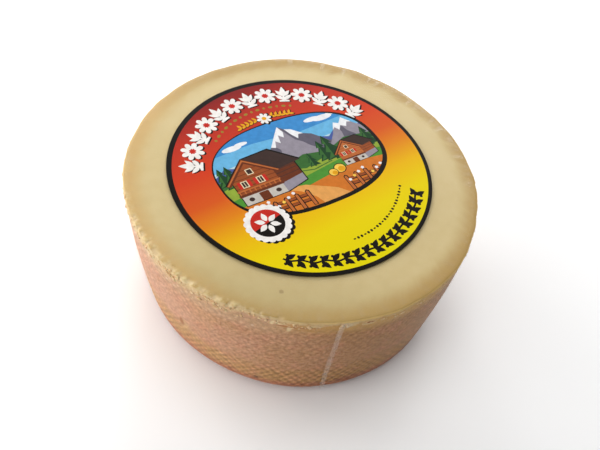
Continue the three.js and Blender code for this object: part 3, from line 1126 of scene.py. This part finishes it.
# %% Inks
INKS = {
    "black": (21, 18, 15),
    "frame": (165, 192, 200),
    "white": (222, 218, 213),
    "olive": (139, 118, 44),
    "gold": (209, 148, 25),
    "pale_gold": (226, 185, 77),
    "red": (181, 40, 31),
    "deep_sky": (57, 127, 185),
    "sky": (96, 163, 202),
    "pale_sky": (165, 192, 200),
    "far_blue": (68, 85, 144),
    "stone": (135, 129, 139),
    "dark_stone": (90, 86, 99),
    "snow": (218, 218, 220),
    "fir": (27, 60, 34),
    "wood_green": (53, 96, 46),
    "meadow": (70, 131, 47),
    "bright_meadow": (131, 152, 53),
    "earth": (190, 107, 38),
    "path": (209, 148, 79),
    "log": (139, 70, 34),
    "dark_log": (96, 46, 25),
    "light_log": (172, 96, 49),
    "roof": (57, 42, 38),
    "plaster": (181, 174, 165),
    "cream": (217, 200, 165),
}
fields = []  # ink, outline, and whether the field shows only inside the picture
print("inks:", len(INKS))


def draw(ink, *outlines, framed=False):
    """Adds fields. All run anticlockwise, because the triangulation takes their left as the inside."""
    for outline in outlines:
        after = [*outline[1:], outline[0]]
        turning = sum(ax * by - bx * ay for (ax, ay), (bx, by) in zip(outline, after))
        fields.append((ink, outline if turning > 0 else outline[::-1], framed))


# %% [markdown]
# A black ring edges the label. The field inside it is printed a hair off the middle, so the ring is a little
# wider at the top. Round the top of the field run white flowers and leaf sprays with a black shadow, and a
# row of beads inside them. Each is drawn once about its own middle, and a loop sets copies along the arc.

# %% Ring and field
LABEL_RADIUS, FIELD_RADIUS = 40.5, 39.07
FIELD_X, FIELD_Y = 0.1, -0.2
RING_CORNERS = 180
draw("black", oval(0, 0, LABEL_RADIUS, LABEL_RADIUS, RING_CORNERS))
draw("field", oval(FIELD_X, FIELD_Y, FIELD_RADIUS, FIELD_RADIUS, RING_CORNERS))
print("label:", 2 * LABEL_RADIUS, "mm across")

# %% White flowers and sprays
ORNAMENTS, FIRST_ORNAMENT, LAST_ORNAMENT = 13, 155, 26  # how many, and between which angles
ORNAMENT_RADIUS, ORNAMENT_SIZE = 33.2, 1.12
SHADOW = (0.4, -0.45)
BEADS, FIRST_BEAD, BEAD_ARC, BEAD_RADIUS = 15, 132, 66, 27.6


def ornament(kind):
    """One white ornament, about 6.5 mm tall, upright about its own middle."""
    if kind == "flower":
        return [flower(8, 3.3, 1.9)]
    foot = [(-1.5, -3.2), (1.5, -3.2), (1.5, -2.6), (0.4, -2.2), (-0.4, -2.2), (-1.5, -2.6)]
    leaves = [leaf(0, -1.2, 0, 4.6, 1.8)]
    for side in (-1, 1):
        leaves.append(leaf(0, -2.2, side * 52, 3.2, 1.35))
        leaves.append(leaf(0, -0.8, side * 40, 3.3, 1.35))
    return [foot, *line([(0, -2.5), (0, 0.6)], 0.6), *leaves]


for i in range(ORNAMENTS):
    angle = FIRST_ORNAMENT - (FIRST_ORNAMENT - LAST_ORNAMENT) * i / (ORNAMENTS - 1)
    x, y = polar(ORNAMENT_RADIUS, angle)
    parts = ornament("flower" if i % 2 else "spray")
    shapes = [moved(part, x, y, angle - 90, ORNAMENT_SIZE) for part in parts]
    draw("black", *[moved(shape, *SHADOW) for shape in shapes])
    draw("white", *shapes)
    if i % 2:
        draw("red", moved(flower(8, 1.15, 0.8), x, y))

for i in range(BEADS):
    bead = oval(0, 0, 0.75 if i % 2 else 0.45, 0.5, 8)
    angle = FIRST_BEAD - BEAD_ARC * i / (BEADS - 1)
    draw("olive", moved(bead, *polar(BEAD_RADIUS, angle), angle - 90))
print("ring, flowers and beads:", len(fields), "fields")

# %% [markdown]
# The foot of the label carries a black scroll: one wavy stem, with a pair of leaves and a pair of berries at
# every step, and a row of small beads above it. The same arc gives all of their places.

# %% Black scroll and beads at the foot
SCROLL_RADIUS, SCROLL_STEPS = 35.7, 48
SCROLL_START, SCROLL_ARC, SCROLL_WAVE = -130, 88, 0.35
PAIRS, FIRST_PAIR, PAIR_STEP = 17, -129, 5.3
FOOT_BEADS, FIRST_FOOT_BEAD, FOOT_BEAD_ARC, FOOT_BEAD_RADIUS = 23, -92, 52, 30.4
scroll = []
for i in range(SCROLL_STEPS + 1):
    radius = SCROLL_RADIUS + SCROLL_WAVE * math.sin(math.radians(i * 60))
    scroll.append(polar(radius, SCROLL_START + SCROLL_ARC * i / SCROLL_STEPS))
draw("black", *line(scroll, 0.6))
for i in range(PAIRS):
    angle = FIRST_PAIR + PAIR_STEP * i
    x, y = polar(SCROLL_RADIUS, angle)
    for side in (-1, 1):
        draw("black", leaf(x, y, angle + side * 42, 3.4, 1.7))
        draw("black", oval(*polar(SCROLL_RADIUS + side * 1.5, angle + 0.4), 0.5, 0.5, 8))
for i in range(FOOT_BEADS):
    bead = oval(0, 0, 0.5 if i % 3 else 0.28, 0.42, 8)
    angle = FIRST_FOOT_BEAD + FOOT_BEAD_ARC * i / (FOOT_BEADS - 1)
    draw("black", moved(bead, *polar(FOOT_BEAD_RADIUS, angle), angle))
print("scroll:", len(fields), "fields so far")

# %% [markdown]
# The picture is a mountain farm in a rounded frame. It is made as a paper cut is, from the back to the
# front: sky, clouds, mountains, meadows, firs, houses, and last the fence. Everything in it is drawn about
# the picture's own middle, and cut off at the frame when the label is made.

# %% Frame of the picture
PICTURE_X, PICTURE_Y, PICTURE_WIDE, PICTURE_HIGH = 1.2, 2.8, 27.2, 18.0
draw("black", oval(PICTURE_X + 0.35, PICTURE_Y - 0.45, PICTURE_WIDE + 0.9, PICTURE_HIGH + 0.9, 96, 2.5))
draw("frame", oval(PICTURE_X, PICTURE_Y, PICTURE_WIDE, PICTURE_HIGH, 96, 2.5))


def paint(ink, *outlines):
    """A field of the picture, drawn about the picture's middle and cut off at its frame."""
    draw(ink, *[moved(outline, PICTURE_X, PICTURE_Y) for outline in outlines], framed=True)


def ridge(*corners, down=-19):
    return [(-28, down), *corners, (28, down)]


print("picture frame:", PICTURE_WIDE, "by", PICTURE_HIGH, "mm from middle to edge")

# %% Sky, mountains and meadows
paint("deep_sky", [(-28, 11), (-10, 12), (6, 10.6), (28, 12), (28, 19), (-28, 19)])
paint("sky", [(-28, 5), (-12, 6.5), (8, 5.4), (28, 6.6), (28, 12), (6, 10.6), (-10, 12), (-28, 11)])
for x, y, size in ((-17, 12.6, 1.0), (-13.6, 13.3, 0.7), (13, 14, 0.9), (16.6, 13.4, 1.1), (20, 14, 0.6)):
    paint("snow", oval(x, y, 3.4 * size, 1.1 * size, 14))
far = [(-28, 3), (-23, 6), (-19, 4.5), (-14, 8), (-9, 5), (-4, 6), (3, 4), (9, 7), (14, 5), (19, 8.4)]
paint("far_blue", ridge(*far, (24, 5.6), (28, 7)))
sunny = [(-13, 0), (-8.6, 5), (-4.8, 9), (-2, 12.4)]
shaded = [(0.6, 15.4), (2.2, 13.6), (4.2, 12.8), (7, 9.6), (9.4, 8.4), (13, 4), (18, 0)]
paint("stone", [*sunny, *shaded])
paint("dark_stone", [*shaded, (10, 0), (6.4, 4), (5, 6.4), (3.2, 8.2), (1.8, 12)])
paint("dark_stone", [(-4.8, 9), (-3.2, 6), (-4.2, 3), (-1.2, 0), (-6, 0), (-8.6, 5)])
cap = [(-5.6, 8.1), (-2, 12.4), (0.6, 15.4), (1.3, 12.6), (0.4, 10.4), (-0.9, 12), (-1.8, 8.6), (-3, 10)]
paint("snow", [*cap, (-4.2, 7.4)])
paint("snow", [(2.2, 13.6), (4.2, 12.8), (7, 9.6), (5.4, 9.9), (4.4, 8.2), (3.2, 10.6)])
paint("stone", [(12, 1), (16, 5.6), (18.6, 9.8), (20.2, 8.8), (22.2, 11), (25, 7), (28, 4), (28, 0)])
paint("dark_stone", [(18.6, 9.8), (20.2, 8.8), (21, 5), (23, 2), (18, 1), (19, 5)])
cap = [(16.8, 6.9), (18.6, 9.8), (20.2, 8.8), (22.2, 11), (24.4, 7.9), (23, 8.4), (21.8, 6.6)]
paint("snow", [*cap, (20.2, 7.8), (18.8, 6), (17.9, 7.7)])
back_hill = [(-28, 1), (-21, 4), (-12, 2.6), (-5, -0.4), (2, 1.6), (10, -0.2), (18, 2.8), (28, 1.4)]
paint("wood_green", ridge(*back_hill))
paint("bright_meadow", ridge((-28, -2), (-18, 0.2), (-8, -1.4), (0, -4), (8, -2), (16, -0.4), (28, -2.4)))
paint("meadow", ridge((-28, -6.6), (-14, -4.6), (-4, -7), (6, -5.6), (16, -4.2), (28, -6)))
HEDGES = ([(-6, -3.4), (2, -5.4), (9, -4.4)], [(14, -2.6), (20, -2), (26, -3.6)], [(-2, -1.6), (4, -2.2)])
for hedge in HEDGES:
    paint("wood_green", *line(hedge, 0.35))
print("landscape:", len(fields), "fields so far")

# %% Firs


def fir(x, y, tall):
    half = [(0.0, 1.0), (0.16, 0.66), (0.07, 0.68), (0.25, 0.34), (0.12, 0.36)]
    half += [(0.33, 0.04), (0.05, 0.06), (0.05, 0)]
    outline = half + [(-a, b) for a, b in reversed(half[1:])]
    paint("fir", moved(outline, x, y, 0, tall))
    light = [(-0.02, 0.9), (-0.12, 0.67), (-0.04, 0.62), (-0.2, 0.36), (-0.08, 0.3)]
    light += [(-0.26, 0.07), (-0.05, 0.12)]
    paint("wood_green", moved(light, x, y, 0, tall))


FIRS = ((-25.2, -1, 8), (-22.8, -2.4, 9.5), (3.2, -4.4, 6), (8.6, -4, 9), (11.4, -4.6, 11), (25.4, -4, 9))
for x, y, tall in FIRS:
    fir(x, y, tall)
print("firs:", len(FIRS))

# %% Farmhouse and barn


def house(x, y, size, wall="log", side="dark_log"):
    """A timber house on a stone base, with its gable to the front and its front left foot at (x, y)."""

    def placed(*outlines):
        return [moved(outline, x, y, 0, size) for outline in outlines]

    whole = [(-0.3, -0.3), (14.3, -0.3), (22.2, 1.6), (22.2, 10.2), (24.6, 10.4), (16.8, 18.4)]
    paint("black", *placed([*whole, (6.8, 17.8), (-2.6, 9.4), (-0.3, 9.2)]))
    paint(wall, *placed([(0, 0), (14, 0), (14, 10.4), (7, 16.4), (0, 10.4)]))
    paint(side, *placed([(14, 0), (21.8, 1.9), (21.8, 10.2), (14, 10.4)]))
    paint("plaster", *placed([(0, 0), (14, 0), (14, 3.6), (0, 3.6)]))
    paint("stone", *placed([(14, 0), (21.8, 1.9), (21.8, 4.8), (14, 3.6)]))
    for level in (5.2, 6.8, 8.4, 10.0, 11.6, 13.2):
        half = 7 if level < 10.4 else 7 * (16.4 - level) / 6
        paint(side, *placed(*line([(7 - half, level), (7 + half, level)], 0.22)))
    for level in (6.0, 7.6, 9.0):
        paint("roof", *placed(*line([(14, level), (21.8, level + 0.5)], 0.2)))
    paint("roof", *placed([(14.9, 9.2), (7.2, 17.4), (16.4, 17.9), (24, 10.2)]))
    paint("dark_log", *placed([(-2.2, 9.2), (7, 17.6), (16.2, 9.2), (15, 8.4), (7, 15.6), (-1, 8.4)]))
    paint("light_log", *placed([(-1.9, 9.2), (7, 17.2), (15.9, 9.2), (15.5, 8.9), (7, 16.5), (-1.5, 8.9)]))
    paint("dark_log", *placed([(-0.6, 3.4), (14.6, 3.4), (14.6, 4.4), (-0.6, 4.4)]))
    for i in range(9):
        paint("light_log", *placed(*line([(0.2 + 1.7 * i, 4.4), (0.2 + 1.7 * i, 5.6)], 0.4)))
    paint("light_log", *placed([(-0.4, 5.5), (14.4, 5.5), (14.4, 6.0), (-0.4, 6.0)]))
    for wx in (2.2, 7.6):
        paint("red", *placed([(wx - 1.1, 6.5), (wx + 3.3, 6.5), (wx + 3.3, 9.2), (wx - 1.1, 9.2)]))
        paint("cream", *placed([(wx, 6.5), (wx + 2.2, 6.5), (wx + 2.2, 9.2), (wx, 9.2)]))
        paint("roof", *placed([(wx + 0.3, 6.8), (wx + 1.0, 6.8), (wx + 1.0, 8.9), (wx + 0.3, 8.9)]))
        paint("roof", *placed([(wx + 1.2, 6.8), (wx + 1.9, 6.8), (wx + 1.9, 8.9), (wx + 1.2, 8.9)]))
    paint("cream", *placed([(5.9, 10.8), (8.1, 10.8), (8.1, 13.2), (5.9, 13.2)]))
    paint("roof", *placed([(6.2, 11.1), (7.8, 11.1), (7.8, 12.9), (6.2, 12.9)]))
    paint("dark_log", *placed([(5.4, 0), (8.6, 0), (8.6, 3.2), (5.4, 3.2)]))
    paint("roof", *placed(oval(2.4, 1.8, 0.9, 0.8, 10), oval(11.6, 1.8, 0.9, 0.8, 10)))


paint("earth", ridge((-28, -10), (-16, -8.6), (-5, -10.6), (6, -9), (16, -7.8), (28, -9.4)))
path = [(-2, -19), (8, -19), (4.4, -14.6), (-0.6, -11.6), (-4, -9.6), (-8, -8.8), (-9.4, -9.6)]
paint("path", [*path, (-6.4, -11.4), (-3.4, -15)])
house(-23.6, -9.6, 0.98)
house(12.2, -8.2, 0.58, "light_log", "log")
print("houses:", len(fields), "fields so far")

# %% Fence, flowers and hay in front
for start, stop, sag in ((-27, -5, 0.5), (9, 27, -0.4)):
    posts = round((stop - start) / 3.4)
    half_way = (start + stop) / 2
    for rail in (-13.2, -15.2):
        paint("black", *line([(start, rail), (half_way, rail + sag), (stop, rail)], 1.25))
        wood = [(start, rail + 0.1), (half_way, rail + sag + 0.1), (stop, rail + 0.1)]
        paint("log", *line(wood, 0.8))
    for i in range(posts + 1):
        x = start + (stop - start) * i / posts
        post = [(x - 0.75, -17.6), (x + 0.75, -17.6), (x + 0.75, -11.8), (x, -11.2), (x - 0.75, -11.8)]
        paint("black", post)
        post = [(x - 0.5, -17.4), (x + 0.4, -17.4), (x + 0.4, -12), (x, -11.6), (x - 0.5, -12)]
        paint("light_log", post)
for i in range(26):
    x, y = -26 + 2.1 * i, -10.9 - 0.9 * ((i * 7) % 4)
    if not -9 < x < 8:
        paint("snow" if i % 3 else "pale_gold", moved(flower(5, 0.62, 0.3, 3), x, y))
for x, y, size in ((9.4, -9.4, 1.0), (6.6, -9.9, 0.8)):
    paint("black", oval(x, y + 1.2 * size, 2.1 * size, 2.0 * size, 16))
    paint("pale_gold", oval(x, y + 1.2 * size, 1.8 * size, 1.7 * size, 16))
    paint("gold", oval(x + 0.4, y + 0.8 * size, 1.2 * size, 1.1 * size, 12))
print("picture:", sum(f[2] for f in fields), "fields")

# %% [markdown]
# A gold crest of leaves stands above the picture. At its lower left a white rosette with a scalloped edge
# overlaps the frame. It is red above and black below, with a star of six leaves. Both are drawn last, so
# that they lie on top.

# %% Gold crest and rosette
crest_x, crest_y = PICTURE_X - 1.0, PICTURE_Y + PICTURE_HIGH + 1.6
for side in (-1, 1):
    for i in range(5):
        x, y = crest_x + side * (2.6 + 1.5 * i), crest_y + 1.0 - 0.28 * i
        for tilt in (35, 110):
            draw("black", leaf(x + 0.15, y - 0.15, -side * tilt, 2.2, 1.15))
            draw("gold", leaf(x, y, -side * tilt, 2.0, 0.9))
draw("black", moved(flower(8, 2.9, 1.7), crest_x + 0.25, crest_y + 0.65))
draw("white", moved(flower(8, 2.5, 1.4), crest_x, crest_y + 0.9))
draw("gold", oval(crest_x, crest_y + 0.9, 0.8, 0.8, 10))

ROSETTE_X, ROSETTE_Y, ROSETTE_RADIUS = -20.4, -14.6, 5.0
SCALLOPS, HALF_STEPS = 20, 16
draw("black", moved(flower(SCALLOPS, 7.1, 6.6, 4), ROSETTE_X + 0.6, ROSETTE_Y - 0.7))
draw("white", moved(flower(SCALLOPS, 7.0, 6.5, 4), ROSETTE_X, ROSETTE_Y))
draw("red", oval(ROSETTE_X, ROSETTE_Y, ROSETTE_RADIUS, ROSETTE_RADIUS, 32))
lower = [polar(ROSETTE_RADIUS, 180 + 180 * i / HALF_STEPS) for i in range(HALF_STEPS + 1)]
draw("black", moved(lower, ROSETTE_X, ROSETTE_Y, 14))
for tilt in range(0, 360, 60):
    draw("white", moved(leaf(0, 0.7, 0, 3.2, 1.7), ROSETTE_X, ROSETTE_Y, tilt))
print("label:", len(fields), "fields,", sum(len(f[1]) for f in fields), "points")

# %% [markdown]
# Now the outlines are cut into one another. The triangulation tells, for each small face, which fields cover
# it, and the face takes the ink of the last one drawn. Fields of the picture count only inside its frame.

# %% Cut the label's top along every outline
CUT_TOLERANCE = 1e-3  # mm
FIELDS_ARE_FILLED = 1  # the triangulation keeps the faces inside the outlines
label_low, label_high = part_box("label")
LABEL_X, LABEL_Y = (label_low.x + label_high.x) / 2, (label_low.y + label_high.y) / 2
corners, outlines = [], []
for ink, outline, framed in fields:
    outlines.append(list(range(len(corners), len(corners) + len(outline))))
    corners += [Vector(point) for point in outline]
cut = geometry.delaunay_2d_cdt(corners, [], outlines, FIELDS_ARE_FILLED, CUT_TOLERANCE, True)
flat_points, _, flat_faces, _, _, owners = cut
frame_field = next(i for i, f in enumerate(fields) if f[0] == "frame")
uppermost = []
for covering in owners:
    inside = frame_field in covering
    uppermost.append(max(i for i in covering if inside or not fields[i][2]))
print("label top:", len(flat_points), "points,", len(flat_faces), "faces")

# %% Label mesh
points = [(LABEL_X + p.x * MM, LABEL_Y + p.y * MM, label_high.z) for p in flat_points]
used = {(a, b) for face in flat_faces for a, b in zip(face, [*face[1:], face[0]])}
rim = [(a, b) for face in flat_faces for a, b in zip(face, [*face[1:], face[0]]) if (b, a) not in used]
under = {a: len(flat_points) + i for i, (a, b) in enumerate(rim)}
points += [(points[a][0], points[a][1], label_low.z) for a, b in rim]
middle = len(points)
points.append((LABEL_X, LABEL_Y, label_low.z))
walls = [(b, a, under[a], under[b]) for a, b in rim]
foot = [(under[b], under[a], middle) for a, b in rim]
mesh = bpy.data.meshes.new("printed_label")
mesh.from_pydata(points, [], [tuple(f) for f in flat_faces] + walls + foot)
label = bpy.data.objects.new("printed_label", mesh)
bpy.context.scene.collection.objects.link(label)
print("label mesh:", len(mesh.polygons), "faces, closed rim of", len(rim), "edges")

# %% Ink on every face
ink_colour = mesh.attributes.new("ink", "FLOAT_COLOR", "CORNER")
for polygon in mesh.polygons:
    ink = "black"
    if polygon.index < len(flat_faces):
        ink = fields[uppermost[polygon.index]][0]
    polygon.material_index = 1 if ink == "field" else 0
    shown = linear(*INKS[ink]) if ink in INKS else (1, 1, 1, 1)
    for loop in polygon.loop_indices:
        ink_colour.data[loop].color = shown
print("inks:", len(INKS))

# %% [markdown]
# The print has two finishes. The plain inks read the colour that each face was given, and a soft mottle gives
# them the uneven cover of a painted picture. The large field reads its place on the label instead, so that it
# can run smoothly from dark red through orange to yellow. Both are matt paper, with a faint grain of fibres.

# %% Label materials


def print_finish(name, colour_of):
    """A paper finish, with its colours given by colour_of(tree, place)."""
    material, t, surface = new_material(name)
    at = own_place(t)
    fibres = noise(t, at, 1800, 3, 0.6)
    look = {"Base Color": colour_of(t, at), "Normal": bumped(t, fibres, 0.12, 0.05 * MM)}
    look |= {"Roughness": ranged(t, fibres, 0.16, 0.3), "Specular IOR Level": 0.04}
    t.links.new(add(t, "ShaderNodeBsdfPrincipled", look).outputs[0], surface)
    return material


def plain_inks(t, at):
    """Each face's own ink, in an uneven cover."""
    cover = eased(t, noise(t, at, 520, 4, 0.6), 0.3, 0.7)
    cover = ramp(t, cover, [(0, (0.72, 0.72, 0.72, 1)), (1, (1.2, 1.2, 1.2, 1))])
    return mixed(t, 0.35, attribute(t, "ink", "Color"), cover, "MULTIPLY")


FIELD_REACH = 40  # mm from the label's middle to the ends of the run of colour
FIELD_LEAN = -0.08  # how far the run leans to one side


def field_ink(t, at):
    """The run from yellow at the foot to dark red at the top."""
    parts = separate(t, at)
    level = maths(t, "SUBTRACT", parts["Y"], LABEL_Y)
    leaning = ranged(t, maths(t, "SUBTRACT", parts["X"], LABEL_X), FIELD_LEAN, level)
    share = eased(t, leaning, -FIELD_REACH * MM, FIELD_REACH * MM, smooth=False)
    stops = [(-40, (209, 196, 3)), (-24, (215, 192, 5)), (-14, (215, 165, 12)), (-6, (205, 120, 23))]
    stops += [(1, (196, 81, 29)), (12, (191, 57, 29)), (26, (170, 46, 32)), (38, (124, 29, 27))]
    return ramp(t, share, [((y + FIELD_REACH) / (2 * FIELD_REACH), linear(*c)) for y, c in stops])


mesh.materials.append(print_finish("printed_inks", plain_inks))
mesh.materials.append(print_finish("printed_field", field_ink))
print("label finishes:", [material.name for material in mesh.materials])

# %% [markdown]
# ## Floor and light
#
# The photograph is a cut-out on white, lit softly from the left and from behind, so the left of the rind is
# pale, its right is in shade, and the cut face darkens towards the viewer. One large light can't do that
# alone. So five square area lights stand round the cheese like windows, from the right rear round to the
# front left, with the strongest at the left. A sixth hangs above, and a pale world fills the shadows. Each
# is listed by its angle from the camera's right, its distance, its height and its power.

# %% Floor
FLOOR_REACH = 3  # metres each way
FLOOR_CORNERS = [(x * FLOOR_REACH, y * FLOOR_REACH, 0) for x, y in ((-1, -1), (1, -1), (1, 1), (-1, 1))]
floor = new_piece("floor", FLOOR_CORNERS, [(0, 1, 2, 3)])
floor_material, t, surface = new_material("pale_floor")
soft = mixed(t, noise(t, own_place(t), 4), (0.955, 0.955, 0.955, 1), (0.97, 0.97, 0.97, 1))
t.links.new(add(t, "ShaderNodeBsdfPrincipled", {"Base Color": soft, "Roughness": 0.7}).outputs[0], surface)
floor.data.materials.append(floor_material)
floor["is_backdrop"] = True
print("floor:", 2 * FLOOR_REACH, "m across")

# %% Lights and world
WINDOW_SIZE = 0.4
WORLD_STRENGTH = 0.324
WINDOWS = (
    ("right_window", 60, 0.5, 0.26, 0.77),
    ("back_window", 90, 0.45, 0.2, 1.5),
    ("back_left_window", 125, 0.5, 0.26, 0.91),
    ("left_window", 160, 0.5, 0.2, 1.62),
    ("front_left_window", 215, 0.5, 0.2, 1.68),
    ("ceiling", 90, 0.02, 0.7, 1.11),
)


def area_light(name, angle, distance, level, watts):
    """A square light aimed at the cut face. angle is counted from the camera's right, in degrees."""
    turn = math.radians(angle) + CAMERA_AZIMUTH
    light = bpy.data.objects.new(name, bpy.data.lights.new(name, "AREA"))
    light.data.size, light.data.energy = WINDOW_SIZE, watts
    light.location = Vector((distance * math.cos(turn), distance * math.sin(turn), level))
    light.rotation_mode = "QUATERNION"
    light.rotation_quaternion = (rim_centre - light.location).to_track_quat("-Z", "Y")
    bpy.context.scene.collection.objects.link(light)


for window in WINDOWS:
    area_light(*window)
world = bpy.data.worlds.new("soft_white")
bpy.context.scene.world = world
world.use_nodes = True
sky = world.node_tree.nodes["Background"].inputs
sky["Color"].default_value = (1, 1, 1, 1)
sky["Strength"].default_value = WORLD_STRENGTH
bpy.context.scene.view_settings.view_transform = "Standard"
print("lights:", [window[0] for window in WINDOWS])

# %% [markdown]
# ## Pieces on the body
#
# Every piece rides on the one body. The cheese stands in for the imported wheel and the printed label for the
# imported label. At the end the size of what was built is set beside the size of the imported model, which
# nothing here changes.

# %% Ride and replace
SLOTS = ((cheese, "cheese"), (crumbs, "cheese"), (film, "clear_film"), (seam, "clear_film"))
for piece, slot in (*SLOTS, (label, "label_paper")):
    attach(piece, "root")
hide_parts("wrapped_cheese")
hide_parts("label")
print("pieces:", [piece.name for piece, _ in SLOTS], "and", label.name)

# %% Compare sizes and finish
size = {"cad": [list(c) for c in cad_box], "visual": [list(c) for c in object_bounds()]}
print("boxes in mm:", {k: [[round(v / MM, 2) for v in c] for c in b] for k, b in size.items()})
